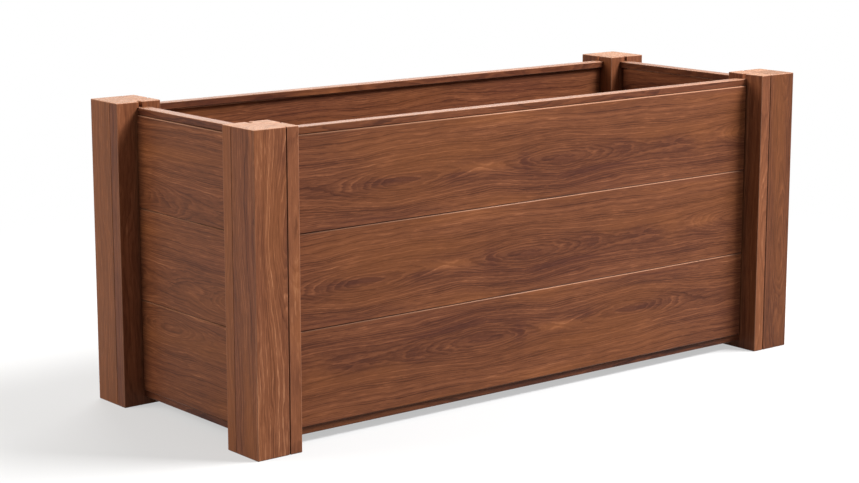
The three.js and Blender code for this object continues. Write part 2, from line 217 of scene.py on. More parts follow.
def shrunk(corners, amount):
    """Move every side of a closed outline inwards: a corner goes along -(n1 + n2) / (1 + n1·n2)."""
    corners = np.asarray(corners, float)
    edge = np.roll(corners, -1, axis=0) - corners
    normal = np.stack([edge[:, 1], -edge[:, 0]], axis=1) / np.linalg.norm(edge, axis=1, keepdims=True)
    before = np.roll(normal, 1, axis=0)
    mitre = (normal + before) / (1 + (normal * before).sum(axis=1, keepdims=True))
    return corners - amount * mitre


def inset_outline(corners, radii, amount):
    """The rounded outline moved inwards, where each rounding loses as much of its radius."""
    return eased(shrunk(corners, amount), np.maximum(np.asarray(radii) - amount, 0))


def new_object(name, data):
    """An object that is linked to the scene."""
    item = bpy.data.objects.new(name, data)
    bpy.context.scene.collection.objects.link(item)
    return item


def closed_tube(name, rings):
    """A closed surface through rings of points, given as (rings, points, 3), with a flat cap at each end.

    Ring i and ring i + 1 are joined by quads. The points of a ring run counter-clockwise as seen from the
    last ring, so that every face looks outwards. Points that fall together are merged.
    """
    count, around = rings.shape[:2]
    index = np.arange(count * around).reshape(count, around)
    following = np.roll(index, -1, axis=1)
    quads = np.stack([index[:-1], following[:-1], following[1:], index[1:]], axis=-1).reshape(-1, 4)
    caps = [index[0, ::-1].tolist(), index[-1].tolist()]
    mesh = bpy.data.meshes.new(name)
    mesh.from_pydata(rings.reshape(-1, 3), [], [*quads.tolist(), *caps])
    cleaned = bmesh.new()
    cleaned.from_mesh(mesh)
    bmesh.ops.remove_doubles(cleaned, verts=cleaned.verts, dist=SAME_POINT)
    cleaned.to_mesh(mesh)
    cleaned.free()
    return new_object(name, mesh)


def stations_along(outline_at, low, high, radius, changes=()):
    """Stations (place, outline) from low to high, for a piece whose two ends are rounded.

    outline_at(place, inset) gives the section. Over each end the place follows radius·(1 - sin(a)) and the
    inset radius·(1 - cos(a)), with a from 90 degrees to 0. Where the section changes, at one of the changes,
    it is taken just before and just after.
    """
    angle = np.linspace(math.pi / 2, 0, ARC_STEPS + 1)
    rise, inset = radius * (1 - np.sin(angle)), radius * (1 - np.cos(angle))
    stations = [(low + up, outline_at(low + up, amount)) for up, amount in zip(rise, inset)]
    for place in sorted(changes):
        stations += [(place, outline_at(place - HAIR, 0.0)), (place, outline_at(place + HAIR, 0.0))]
    stations += [(high - up, outline_at(high - up, amount)) for up, amount in zip(rise[::-1], inset[::-1])]
    return stations


def rings_up(stations):
    """Rings of points for stations (height, outline)."""
    return np.array([np.column_stack([shape, np.full(len(shape), height)]) for height, shape in stations])


def rings_along(stations):
    """Rings of points for stations (distance along a wall, outline)."""
    return np.array([np.column_stack([np.full(len(shape), place), shape]) for place, shape in stations])


# ================ Frames of the walls and posts ================


def node_box(name):
    """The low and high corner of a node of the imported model."""
    return tuple(np.array(corner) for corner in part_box(name))


def wall_axes(wall):
    """Where a wall's own frame starts on the ground, and its directions: along the wall, inwards and up."""
    middle_of_face = {
        "front": (0, cad_low[1], 0),
        "back": (0, cad_high[1], 0),
        "left": (cad_low[0], 0, 0),
        "right": (cad_high[0], 0, 0),
    }
    along = {"front": (1, 0, 0), "back": (-1, 0, 0), "left": (0, -1, 0), "right": (0, 1, 0)}
    up = np.array((0.0, 0.0, 1.0))
    direction = np.array(along[wall], float)
    return np.array(middle_of_face[wall], float), np.stack([direction, np.cross(up, direction), up])


def box_in_wall(node, wall):
    """The low and high corner of a node in its wall's frame."""
    origin, axes = wall_axes(wall)
    corners = (np.array(node_box(node)) - origin) @ axes.T
    return corners.min(axis=0), corners.max(axis=0)


def from_wall(points, wall):
    """Points of a wall's own frame, moved into the frame of the model."""
    origin, axes = wall_axes(wall)
    return origin + points @ axes


def corner_axes(corner):
    """A post's own frame: from its outer corner, x along the long wall and y along the end wall."""
    sx, sy = CORNERS[corner]
    origin = np.array((cad_low[0] if sx > 0 else cad_high[0], cad_low[1] if sy > 0 else cad_high[1], 0.0))
    return origin, np.diag([sx, sy, 1.0])


# ================ Marks that the wood reads ================


def face_normals(mesh):
    """The normals of a mesh's faces, as (n, 3)."""
    normals = np.empty(len(mesh.polygons) * 3, np.float32)
    mesh.polygons.foreach_get("normal", normals)
    return normals.reshape(-1, 3)


def mark_wood(
    piece, origin, axes, start=0.0, cut=0.0, rise=0.0, turned=False, tone=1.0, warmth=0.0, wear_and_highlight=1.0
):
    """Write on a piece where it sat in the log.

    log_place is (distance along the grain, depth behind the face, distance across the grain). The rows of
    axes are those three directions, and origin is the place where all three are nought. A turned piece runs
    the other way along and across. end_grain is the share of a face that looks along the grain. arris marks
    rounded edges, paler where worn and paler still where they look up, as painted highlight. skyward is the
    share of a face that looks up, which gets a painted sheen. Faces that look across the grain get painted
    shade, and so do roundings that look down.
    """
    mesh = piece.data
    points = np.empty(len(mesh.vertices) * 3, np.float32)
    mesh.vertices.foreach_get("co", points)
    sign = -1.0 if turned else 1.0
    in_log = (points.reshape(-1, 3) - origin) @ np.asarray(axes).T
    place = in_log * (sign, 1.0, sign) + (start, cut, rise)
    log_place = mesh.attributes.new("log_place", "FLOAT_VECTOR", "POINT")
    log_place.data.foreach_set("vector", place.astype(np.float32).ravel())

    normals = face_normals(mesh)
    in_grain = abs(normals @ np.asarray(axes).T)
    upward = normals[:, 2]
    rounded = in_grain.max(axis=1) < FLAT
    # Painted shade on faces that look across the grain, such as the left and right faces of a post.
    shade = CROSS_FACE_SHADE * in_grain[:, 2] ** 2
    # Painted shade on roundings that look down.
    underside_shade = UNDERSIDE_SHADE * rounded * (upward < 0)
    marks = {
        "end_grain": in_grain[:, 0] ** 2,
        # Faces that look up get a painted sheen.
        "skyward": np.clip(upward, 0, 1) * (1 - in_grain[:, 0] ** 2),
        # Arrises are paler where worn, and paler still where they look up, as painted highlight.
        "arris": wear_and_highlight * rounded * np.clip(SIDEWAYS_WEAR_AND_HIGHLIGHT + (1 - SIDEWAYS_WEAR_AND_HIGHLIGHT) * upward, 0, 1),
        # The piece's own tone, darkened by the painted shade worked out above.
        "piece_tone_and_shade": tone * (1 - shade) * (1 - underside_shade),
        "piece_warmth": np.full(len(in_grain), warmth),
    }
    for name, values in marks.items():
        mesh.attributes.new(name, "FLOAT", "FACE").data.foreach_set("value", values.astype(np.float32))
    mesh.polygons.foreach_set("use_smooth", rounded)
    mesh.update()


def dress(piece, node, material):
    """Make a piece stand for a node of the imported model."""
    piece.data.materials.append(material)
    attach(piece, "root")
    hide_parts(node)


# ================ Wood and steel ================


def linear(red, green, blue):
    """An sRGB colour, 0 to 255, as the linear values that the shader takes."""
    parts = np.array((red, green, blue)) / 255
    return (*np.where(parts <= 0.04045, parts / 12.92, ((parts + 0.055) / 1.055) ** 2.4), 1.0)


class Wiring:
    """Adds nodes to one tree. Most methods return the socket that carries their result."""

    def __init__(self, tree):
        self.tree = tree

    def add(self, kind, **settings):
        node = self.tree.nodes.new(kind)
        for name, value in settings.items():
            setattr(node, name, value)
        return node

    def feed(self, socket, value):
        if isinstance(value, bpy.types.NodeSocket):
            self.tree.links.new(value, socket)
        else:
            socket.default_value = value

    def fed(self, node, values):
        """Feed the first inputs of a node and take its first output."""
        for socket, value in zip(node.inputs, values):
            self.feed(socket, value)
        return node.outputs[0]

    def math(self, operation, *values, clamp=False):
        return self.fed(self.add("ShaderNodeMath", operation=operation, use_clamp=clamp), values)

    def vector(self, operation, *values):
        return self.fed(self.add("ShaderNodeVectorMath", operation=operation), values)

    def split(self, vector):
        node = self.add("ShaderNodeSeparateXYZ")
        self.feed(node.inputs[0], vector)
        return node.outputs

    def noise_node(self, dimensions, **values):
        node = self.add("ShaderNodeTexNoise", noise_dimensions=dimensions)
        for label, value in values.items():
            self.feed(node.inputs[label], value)
        return node

    def noise(self, place, stretch, shift=0.0, detail=2.0, roughness=0.5, colour=False):
        """Noise with `stretch` waves to the metre along each of the three directions."""
        scaled = self.vector("MULTIPLY_ADD", place, stretch, (shift, shift, shift))
        node = self.noise_node("3D", Vector=scaled, Scale=1.0, Detail=detail, Roughness=roughness)
        return node.outputs[1 if colour else 0]

    def noise_along(self, value, scale, detail=2.0, roughness=0.5):
        """Noise of a single value, with `scale` waves to each unit of it."""
        node = self.noise_node("1D", W=value, Scale=scale, Detail=detail, Roughness=roughness)
        return node.outputs[0]

    def fade(self, value, low, high):
        """0 at low, 1 at high, with a smooth rise between."""
        node = self.add("ShaderNodeMapRange", interpolation_type="SMOOTHSTEP")
        return self.fed(node, (value, low, high, 0.0, 1.0))

    def mix(self, share, first, second):
        """The first colour at share 0, the second at share 1. A mix node's colours are its inputs 6 and 7."""
        node = self.add("ShaderNodeMix", data_type="RGBA")
        for number, value in ((0, share), (6, first), (7, second)):
            self.feed(node.inputs[number], value)
        return node.outputs[2]

    def ramp(self, value, stops):
        """The colour at a value, between stops of (position, colour)."""
        node = self.add("ShaderNodeValToRGB")
        elements = node.color_ramp.elements
        while len(elements) < len(stops):
            elements.new(0.5)  # moved to its own position below
        for element, (position, colour) in zip(elements, stops):
            element.position = position
            element.color = colour
        self.feed(node.inputs[0], value)
        return node.outputs[0]

    def attribute(self, name, vector=False):
        node = self.add("ShaderNodeAttribute", attribute_name=name)
        return node.outputs["Vector" if vector else "Fac"]


def new_group(name, inputs, outputs):
    """An empty node group with named sockets, its wiring, and the sockets inside it that give and take."""
    group = bpy.data.node_groups.new(name, "ShaderNodeTree")
    kinds = {"float": "NodeSocketFloat", "vector": "NodeSocketVector", "colour": "NodeSocketColor"}
    for label, kind in inputs:
        group.interface.new_socket(name=label, in_out="INPUT", socket_type=kinds[kind])
    for label, kind in outputs:
        group.interface.new_socket(name=label, in_out="OUTPUT", socket_type=kinds[kind])
    wiring = Wiring(group)
    source = wiring.add("NodeGroupInput").outputs
    sink = wiring.add("NodeGroupOutput").inputs
    return group, wiring, source, sink


# Where the heart of the log comes nearest to the face: metres along the grain, half length and rise.
EYES = (
    (0.180, 0.125, 0.85),
    (0.478, 0.115, 1.0),
    (0.95, 0.16, 1.2),
    (1.36, 0.10, 0.8),
    (1.68, 0.12, 1.1),
)

# Lighter (+) and darker (-) places in the log: metres along and across the grain, half length, half width
# and amount.
STAINS = (
    (0.330, 0.000, 0.040, 0.007, 0.26),
    (0.405, -0.002, 0.012, 0.016, -0.22),
    (0.478, 0.000, 0.036, 0.006, -0.20),
    (0.545, -0.024, 0.075, 0.0045, -0.34),
    (0.600, 0.002, 0.022, 0.014, -0.14),
    (0.700, 0.000, 0.030, 0.016, -0.13),
    (0.765, 0.000, 0.022, 0.020, 0.14),
    (0.825, 0.002, 0.030, 0.008, 0.24),
    (0.390, 0.062, 0.110, 0.008, 0.20),
    (0.800, 0.062, 0.120, 0.009, 0.18),
    (0.285, -0.009, 0.024, 0.006, -0.18),
    (0.175, -0.001, 0.055, 0.007, -0.24),
)

# Noises of the wood: waves to the metre along and across the grain, shift, detail and roughness.
GRAIN = {
    "drift": (4.0, 14.0, 3.1, 2.0, 0.5),
    "ripple": (18.0, 75.0, 8.7, 3.0, 0.5),
    "fibres": (18.0, 300.0, 1.7, 4.0, 0.7),
    "hair": (45.0, 1300.0, 5.3, 2.0, 0.6),
    "flames": (5.5, 50.0, 12.4, 3.0, 0.6),
    "broad": (2.2, 15.0, 21.9, 1.0, 0.5),
    "flecks": (34.0, 420.0, 4.4, 2.0, 0.6),
    "pores": (120.0, 2400.0, 9.9, 0.0, 0.5),
}
DRIFT_REACH = (0.05, 0.022, 0.022)  # metres that the slow noise moves the grain, along, into and across
RIPPLE_REACH = (0.012, 0.0055, 0.0055)
NOISE_MEAN = 0.5
FLECK_EDGE = (0.54, 0.66)
PORE_EDGE = (0.70, 0.80)

# Rings: waves of a noise to the ring for the broad bands, for single lines and for the strength of a ring.
BAND_WAVES = 0.30
LINE_WAVES = 0.95
STRENGTH_WAVES = 1.37
RAGGEDNESS = 0.45  # rings that the fibres move a line
STRONG_EDGE = (0.38, 0.60)
FLAME_EDGE = (0.38, 0.62)
LATE_RISE, LATE_FALL = (0.45, 0.90), (0.92, 1.0)  # shares of a ring
EARLY_RISE, EARLY_FALL = (0.0, 0.06), (0.12, 0.34)

# What makes a place lighter (+) or darker (-): the value that changes nothing, and the weight.
TONE_PARTS = {
    "bands": (0.5, 0.55),
    "lines": (0.5, 0.40),
    "fibres": (0.5, 0.58),
    "hair": (0.5, 0.40),
    "flames": (0.5, 0.24),
    "flecks": (0.3, 0.13),
    "late": (0.3, -0.10),
    "early": (0.05, 0.16),
    "pores": (0.0, -0.16),
    "stain": (0.0, 0.7),
}
MIDDLE_TONE = 0.5  # where a piece of tone 1 lies on WOOD_TONES, before its grain
WOOD_TONES = (
    (0.00, linear(56, 29, 22)),
    (0.28, linear(91, 51, 34)),
    (0.52, linear(118, 70, 46)),
    (0.76, linear(144, 89, 60)),
    (1.00, linear(184, 126, 90)),
)
WARM_WOOD = linear(156, 94, 48)
COOL_WOOD = linear(98, 54, 44)
HUE_SHARE = 0.28  # how far a place goes towards the warm or the cool colour
WARM_EDGE, COOL_EDGE = (0.48, 0.72), (0.50, 0.72)
STAIN_WARMTH = 3.0

# Wood on the ends, on the arrises and on faces that look up, with painted sheen and highlight.
# End grain colour, made paler also as painted sheen.
END_GRAIN_AND_SHEEN_TONES = ((0.30, linear(124, 88, 65)), (0.90, linear(174, 133, 105)))
# Colour of worn arrises, which also stands for the painted highlight on those that look up.
WORN_AND_LIT_WOOD = linear(186, 138, 112)
# Painted sheen: faces that look up are made paler, for the light that they take from above and reflect.
TOP_SHEEN_TONES = ((0.15, linear(121, 78, 52)), (0.75, linear(183, 133, 99)))
# Shares of the end grain with its painted sheen, the worn arrises with their painted highlight, and the
# painted sheen on faces that look up.
END_SHARE, WORN_AND_LIT_SHARE, TOP_SHEEN_SHARE = 0.85, 0.8, 0.75
WOOD_ROUGHNESS = 0.42
END_ROUGHNESS = 0.2  # more of it on the ends
WOOD_SPECULAR = 0.12
WOOD_BUMP = 0.35
GRAIN_RELIEF = 0.4 * MM
FIBRE_HEIGHT, HAIR_HEIGHT, PORE_DEPTH = 0.6, 0.4, 0.8  # shares of that relief

STEEL_TONES = ((0.3, linear(150, 152, 155)), (0.7, linear(196, 198, 200)))
SCRATCH_WAVES = (900.0, 900.0, 300.0)
STEEL_ROUGHNESS = (0.2, 0.3)  # at the least, and how much more in the scratches
STEEL_BUMP = 0.2
SCRATCH_RELIEF = 0.05 * MM


def grain_noise(w, name, place, colour=False):
    """One of the noises of the wood, long in the grain and short across it."""
    along, across, shift, detail, roughness = GRAIN[name]
    return w.noise(place, (along, across, across), shift, detail, roughness, colour)


def bent_place(w, place):
    """The place moved by a slow and a fine noise, so that the grain wanders."""
    bent = place
    for name, reach in (("drift", DRIFT_REACH), ("ripple", RIPPLE_REACH)):
        shove = w.vector("SUBTRACT", grain_noise(w, name, place, colour=True), [NOISE_MEAN] * 3)
        bent = w.vector("MULTIPLY_ADD", shove, reach, bent)
    return bent


def heart_rise(w, along):
    """How far the heart rises towards the face: the sum of rise / (1 + (distance / half length)²)."""
    lift = 0.0
    for centre, reach, rise in EYES:
        distance = w.math("DIVIDE", w.math("SUBTRACT", along, centre), reach)
        spread = w.math("MULTIPLY_ADD", distance, distance, 1.0)
        lift = w.math("ADD", lift, w.math("DIVIDE", rise, spread))
    return lift


def stain_amount(w, along, across):
    """The sum of amount·exp(-(distance along / half length)² - (distance across / half width)²)."""
    stain = 0.0
    for centre, side, half_length, half_width, amount in STAINS:
        length_out = w.math("DIVIDE", w.math("SUBTRACT", along, centre), half_length)
        width_out = w.math("DIVIDE", w.math("SUBTRACT", across, side), half_width)
        out = w.math("MULTIPLY_ADD", length_out, length_out, w.math("MULTIPLY", width_out, width_out))
        stain = w.math("MULTIPLY_ADD", w.math("EXPONENT", w.math("MULTIPLY", out, -1.0)), amount, stain)
    return stain


def ring_marks(w, age, fibres, flames):
    """Lines that follow the rings, made ragged by the fibres.

    late is the slow darkening through each ring. early is the thin pale line at its start, which only strong
    rings have, and only where the flames are. lines is a noise of the age.
    """
    jagged = w.math("MULTIPLY_ADD", w.math("SUBTRACT", fibres, NOISE_MEAN), RAGGEDNESS, age)
    ring = w.math("FRACT", jagged)
    late = w.math("SUBTRACT", w.fade(ring, *LATE_RISE), w.fade(ring, *LATE_FALL))
    strong = w.fade(w.noise_along(w.math("FLOOR", jagged), STRENGTH_WAVES, detail=0.0), *STRONG_EDGE)
    early = w.math("SUBTRACT", w.fade(ring, *EARLY_RISE), w.fade(ring, *EARLY_FALL))
    early = w.math("MULTIPLY", w.math("MULTIPLY", early, strong), w.fade(flames, *FLAME_EDGE))
    lines = w.noise_along(jagged, LINE_WAVES, detail=3.0, roughness=0.65)
    return late, early, lines


def wood_colour(w, tone, broad, stain, warmth):
    """The colour of a tone, warmer or cooler by broad patches, by the stains and by the piece's warmth."""
    extra = w.math("MULTIPLY_ADD", stain, STAIN_WARMTH, warmth)
    warm = w.math("ADD", w.fade(broad, *WARM_EDGE), extra, clamp=True)
    cool = w.math("SUBTRACT", w.fade(w.math("SUBTRACT", 1.0, broad), *COOL_EDGE), extra, clamp=True)
    colour = w.mix(w.math("MULTIPLY", warm, HUE_SHARE), w.ramp(tone, WOOD_TONES), WARM_WOOD)
    return w.mix(w.math("MULTIPLY", cool, HUE_SHARE), colour, COOL_WOOD)


def make_timber():
    """Sawn timber as one solid.

    The heart of the log lies h behind the face: the heart depth, less the eye lift times heart_rise. A place
    lies R = sqrt((depth + h)² + across²) from it, and R / ring spacing is its age. Broad bands and thin lines
    follow the age. Noise that is long in the grain gives fibres, flames, flecks and pores.
    """
    inputs = (
        ("Place", "vector"),
        ("Heart Depth", "float"),
        ("Eye Lift", "float"),
        ("Ring Spacing", "float"),
        ("Tone", "float"),
        ("Warmth", "float"),
        ("Contrast", "float"),
    )
    outputs = (("Tone", "float"), ("Color", "colour"), ("Grain Height", "float"))
    group, w, source, sink = new_group("timber", inputs, outputs)
    place = source["Place"]
    bent = bent_place(w, place)
    along, deep, across = w.split(bent)

    lift = w.math("MULTIPLY", heart_rise(w, along), source["Eye Lift"])
    heart = w.math("SUBTRACT", w.math("ADD", deep, source["Heart Depth"]), lift)
    radius = w.math("SQRT", w.math("MULTIPLY_ADD", heart, heart, w.math("MULTIPLY", across, across)))
    age = w.math("DIVIDE", radius, source["Ring Spacing"])

    fibres = grain_noise(w, "fibres", bent)
    flames = grain_noise(w, "flames", bent)
    hair = grain_noise(w, "hair", place)
    pores = w.fade(grain_noise(w, "pores", place), *PORE_EDGE)
    late, early, lines = ring_marks(w, age, fibres, flames)
    parts = {
        "bands": w.noise_along(age, BAND_WAVES, detail=2.0),
        "lines": lines,
        "fibres": fibres,
        "hair": hair,
        "flames": flames,
        "flecks": w.fade(grain_noise(w, "flecks", bent), *FLECK_EDGE),
        "late": late,
        "early": early,
        "pores": pores,
        "stain": stain_amount(w, along, across),
    }
    tone = 0.0
    for name, (usual, weight) in TONE_PARTS.items():
        tone = w.math("MULTIPLY_ADD", w.math("SUBTRACT", parts[name], usual), weight, tone)
    middle = w.math("MULTIPLY", source["Tone"], MIDDLE_TONE)
    tone = w.math("MULTIPLY_ADD", tone, source["Contrast"], middle, clamp=True)

    height = w.math("ADD", w.math("MULTIPLY", fibres, FIBRE_HEIGHT), w.math("MULTIPLY", hair, HAIR_HEIGHT))
    height = w.math("SUBTRACT", height, w.math("MULTIPLY", pores, PORE_DEPTH))
    broad = grain_noise(w, "broad", bent)
    w.feed(sink["Tone"], tone)
    w.feed(sink["Color"], wood_colour(w, tone, broad, parts["stain"], source["Warmth"]))
    w.feed(sink["Grain Height"], height)
    return group


def make_edges():
    """Paler, duller end grain and worn arrises, with painted sheen and highlight on them and on faces that
    look up.
    """
    inputs = (
        ("Color", "colour"),
        ("Tone", "float"),
        ("End Grain", "float"),
        ("Arris", "float"),
        ("Skyward", "float"),
    )
    outputs = (("Color", "colour"), ("Roughness", "float"))
    group, w, source, sink = new_group("ends_and_arrises", inputs, outputs)
    ends = w.math("MULTIPLY", source["End Grain"], END_SHARE)
    # Painted sheen on faces that look up.
    top_sheen = w.ramp(source["Tone"], TOP_SHEEN_TONES)
    colour = w.mix(w.math("MULTIPLY", source["Skyward"], TOP_SHEEN_SHARE), source["Color"], top_sheen)
    colour = w.mix(ends, colour, w.ramp(source["Tone"], END_GRAIN_AND_SHEEN_TONES))
    colour = w.mix(w.math("MULTIPLY", source["Arris"], WORN_AND_LIT_SHARE), colour, WORN_AND_LIT_WOOD)
    w.feed(sink["Color"], colour)
    w.feed(sink["Roughness"], w.math("MULTIPLY_ADD", ends, END_ROUGHNESS, WOOD_ROUGHNESS))
    return group


TIMBER = make_timber()
ENDS_AND_ARRISES = make_edges()


def new_material(name):
    """A material with its wiring and its shader."""
    material = bpy.data.materials.new(name)
    material.use_nodes = True
    return material, Wiring(material.node_tree), material.node_tree.nodes["Principled BSDF"]


def emboss(w, shader, height, strength, relief):
    """Bump a shader's surface by a height from 0 to 1, where 1 stands `relief` metres proud."""
    bump = w.add("ShaderNodeBump")
    bump.inputs["Strength"].default_value = strength
    bump.inputs["Distance"].default_value = relief
    w.feed(bump.inputs["Height"], height)
    w.feed(shader.inputs["Normal"], bump.outputs["Normal"])


def wood(name, heart, lift, rings, tone, contrast=1.0, roughness=0.0):
    """One finish of the same timber.

    heart, lift and rings are the heart depth, eye lift and ring spacing. roughness adds to the oiled wood's.
    """
    material, w, shader = new_material(name)
    timber = w.add("ShaderNodeGroup", node_tree=TIMBER)
    values = {
        "Place": w.attribute("log_place", vector=True),
        "Heart Depth": heart,
        "Eye Lift": lift,
        "Ring Spacing": rings,
        # The piece's tone, which carries painted shade.
        "Tone": w.math("MULTIPLY", w.attribute("piece_tone_and_shade"), tone),
        "Warmth": w.attribute("piece_warmth"),
        "Contrast": contrast,
    }
    for label, value in values.items():
        w.feed(timber.inputs[label], value)
    edges = w.add("ShaderNodeGroup", node_tree=ENDS_AND_ARRISES)
    w.feed(edges.inputs["Color"], timber.outputs["Color"])
    w.feed(edges.inputs["Tone"], timber.outputs["Tone"])
    for label, mark in (("End Grain", "end_grain"), ("Arris", "arris"), ("Skyward", "skyward")):
        w.feed(edges.inputs[label], w.attribute(mark))
    w.feed(shader.inputs["Base Color"], edges.outputs["Color"])
    w.feed(shader.inputs["Roughness"], w.math("ADD", edges.outputs["Roughness"], roughness))
    shader.inputs["Specular IOR Level"].default_value = WOOD_SPECULAR
    emboss(w, shader, timber.outputs["Grain Height"], WOOD_BUMP, GRAIN_RELIEF)
    return material


def steel(name):
    """Brushed stainless steel: fine scratches in colour, roughness and height."""
    material, w, shader = new_material(name)
    place = w.add("ShaderNodeTexCoord").outputs["Object"]
    scratches = w.noise(place, SCRATCH_WAVES, shift=2.0, detail=3.0)
    least, more = STEEL_ROUGHNESS
    w.feed(shader.inputs["Base Color"], w.ramp(scratches, STEEL_TONES))
    w.feed(shader.inputs["Roughness"], w.math("MULTIPLY_ADD", scratches, more, least))
    shader.inputs["Metallic"].default_value = 1.0
    emboss(w, shader, scratches, STEEL_BUMP, SCRATCH_RELIEF)
    return material


OILED_POST = wood("oiled_post", heart=38 * MM, lift=20 * MM, rings=2.4 * MM, tone=1.26)
OILED_STILE = wood("oiled_stile", heart=75 * MM, lift=10 * MM, rings=2.2 * MM, tone=1.20, contrast=0.8)
OILED_BOARD = wood("oiled_board", heart=37 * MM, lift=20 * MM, rings=2.3 * MM, tone=0.90)
OILED_RAIL = wood("oiled_rail", heart=60 * MM, lift=8 * MM, rings=2.2 * MM, tone=0.82, contrast=0.9)
BARE_FLOOR = wood("bare_floor", heart=50 * MM, lift=16 * MM, rings=2.6 * MM, tone=0.95, roughness=0.2)
STAINLESS = steel("stainless_steel")

# ================ Walls ================


BOARD_FRONT, BOARD_BACK = (float(corner[1]) for corner in box_in_wall("front_board_1", "front"))
TONGUE_PLANE = (BOARD_FRONT + BOARD_BACK) / 2  # how far in the middle of every tongue lies


def wall_section(front, back, bottom, top, radius, grooved, tongued):
    """Outline of a board or rail in (inwards, up), counter-clockwise from its lower front corner."""
    middle = TONGUE_PLANE
    groove, tongue = TONGUE_THICKNESS / 2 + FIT, TONGUE_THICKNESS / 2
    under = [
        (middle - groove, bottom),
        (middle - groove, bottom + TONGUE_HEIGHT),
        (middle + groove, bottom + TONGUE_HEIGHT),
        (middle + groove, bottom),
    ]
    over = [
        (middle + tongue, top),
        (middle + tongue, top + TONGUE_HEIGHT),
        (middle - tongue, top + TONGUE_HEIGHT),
        (middle - tongue, top),
    ]
    corners = [(front, bottom), *(under if grooved else []), (back, bottom), (back, top)]
    corners += [*(over if tongued else []), (front, top)]
    return eased(corners, [radius if inwards in (front, back) else 0.0 for inwards, _ in corners])


def wall_piece(name, wall, radius, grooved, tongued, gap=0.0):
    """A board or rail: its section carried along the wall, with a gap left before the posts.

    Past the shoulders the section is clipped to the end tongue: inwards to the tongue's two faces, and
    upwards to no lower than the top of its own groove.
    """
    low, high = box_in_wall(name, wall)
    top = high[2] - (TONGUE_HEIGHT if tongued else 0)
    section = wall_section(low[1], high[1], low[2], top, radius, grooved, tongued)
    lowest = low[2] + (TONGUE_HEIGHT if grooved else 0)
    half = TONGUE_THICKNESS / 2
    tongue = np.clip(section, (TONGUE_PLANE - half, lowest), (TONGUE_PLANE + half, np.inf))
    shoulder = high[0] - END_TONGUE_LENGTH - gap
    stations = [(-high[0], tongue), (-shoulder, tongue), (-shoulder, section)]
    stations += [(shoulder, section), (shoulder, tongue), (high[0], tongue)]
    return closed_tube(f"{name}_wood", from_wall(rings_along(stations), wall))


def mark_wall_piece(piece, name, wall, wear_and_highlight=1.0, **laid):
    """Mark a piece whose length lies along the log, with its outer face at depth nought."""
    low, high = box_in_wall(name, wall)
    origin, axes = wall_axes(wall)
    left_middle = np.array((low[0] + END_TONGUE_LENGTH, low[1], (low[2] + high[2] - TONGUE_HEIGHT) / 2))
    mark_wood(piece, origin + left_middle @ axes, axes, wear_and_highlight=wear_and_highlight, **laid)


# ================ Posts ================


CORE_SIDE = float(np.ptp(node_box("front_left_post_core"), axis=0)[0])
POST_SIDE = float(node_box("front_left_post_long_stile")[1][0] - cad_low[0])
POST_HEIGHT = float(cad_high[2])
GROOVE_BOTTOM = float(node_box("front_bottom_rail")[0][2]) - FIT
KEY_STOPS = (KEY_STOP, POST_HEIGHT - KEY_STOP)
KEY_SIDES = ((CORE_SIDE - KEY_WIDTH) / 2, (CORE_SIDE + KEY_WIDTH) / 2)
PANEL_SIDES = (TONGUE_PLANE - TONGUE_THICKNESS / 2 - FIT, TONGUE_PLANE + TONGUE_THICKNESS / 2 + FIT)


def core_outline(height, inset):
    """A square with a key groove in each inner side between the stops."""
    low, high = KEY_SIDES[0] - FIT, KEY_SIDES[1] + FIT
    keyed = KEY_STOPS[0] - FIT < height < KEY_STOPS[1] + FIT
    side, floor = CORE_SIDE, CORE_SIDE - (KEY_DEPTH if keyed else HAIR)
    corners = [(0, 0), (side, 0), (side, low), (floor, low), (floor, high), (side, high), (side, side)]
    corners += [(high, side), (high, floor), (low, floor), (low, side), (0, side)]
    radii = [POST_ROUND, JOINT_ROUND, *[0] * 9, JOINT_ROUND]
    return inset_outline(corners, radii, inset)


def stile_features(height):
    """How deep the panel groove and how proud the key is at a height."""
    groove = END_TONGUE_LENGTH if height > GROOVE_BOTTOM else HAIR
    key = KEY_DEPTH if KEY_STOPS[0] < height < KEY_STOPS[1] else HAIR
    return groove, key


def long_stile_outline(height, inset):
    """The stile beside the core on the long side: joint line, panel groove and key."""
    groove, key = stile_features(height)
    key_low, key_high = KEY_SIDES
    panel_low, panel_high = PANEL_SIDES
    joint, lip, inner = CORE_SIDE + FIT, CORE_SIDE + JOINT_LINE_WIDTH, POST_SIDE
    corners = [(lip, 0), (inner, 0), (inner, panel_low), (inner - groove, panel_low)]
    corners += [(inner - groove, panel_high), (inner, panel_high), (inner, inner), (joint, inner)]
    corners += [(joint, key_high), (joint - key, key_high), (joint - key, key_low), (joint, key_low)]
    corners += [(joint, JOINT_LINE_DEPTH), (lip, JOINT_LINE_DEPTH)]
    radii = [JOINT_ROUND, POST_ROUND, 0, 0, 0, 0, POST_ROUND, JOINT_ROUND, *[0] * 6]
    return inset_outline(corners, radii, inset)


def end_stile_outline(height, inset):
    """The stile beside the core on the end side, from the joint line round its key to the panel groove."""
    groove, key = stile_features(height)
    key_low, key_high = KEY_SIDES
    panel_low, panel_high = PANEL_SIDES
    joint, lip, inner = CORE_SIDE + FIT, CORE_SIDE + END_JOINT_LINE_WIDTH, POST_SIDE
    corners = [(0, lip), (JOINT_LINE_DEPTH, lip), (JOINT_LINE_DEPTH, joint), (key_low, joint)]
    corners += [(key_low, joint - key), (key_high, joint - key), (key_high, joint), (CORE_SIDE, joint)]
    corners += [(CORE_SIDE, inner), (panel_high, inner), (panel_high, inner - groove)]
    corners += [(panel_low, inner - groove), (panel_low, inner), (0, inner)]
    radii = [JOINT_ROUND, *[0] * 7, JOINT_ROUND, *[0] * 4, POST_ROUND]
    return inset_outline(corners, radii, inset)


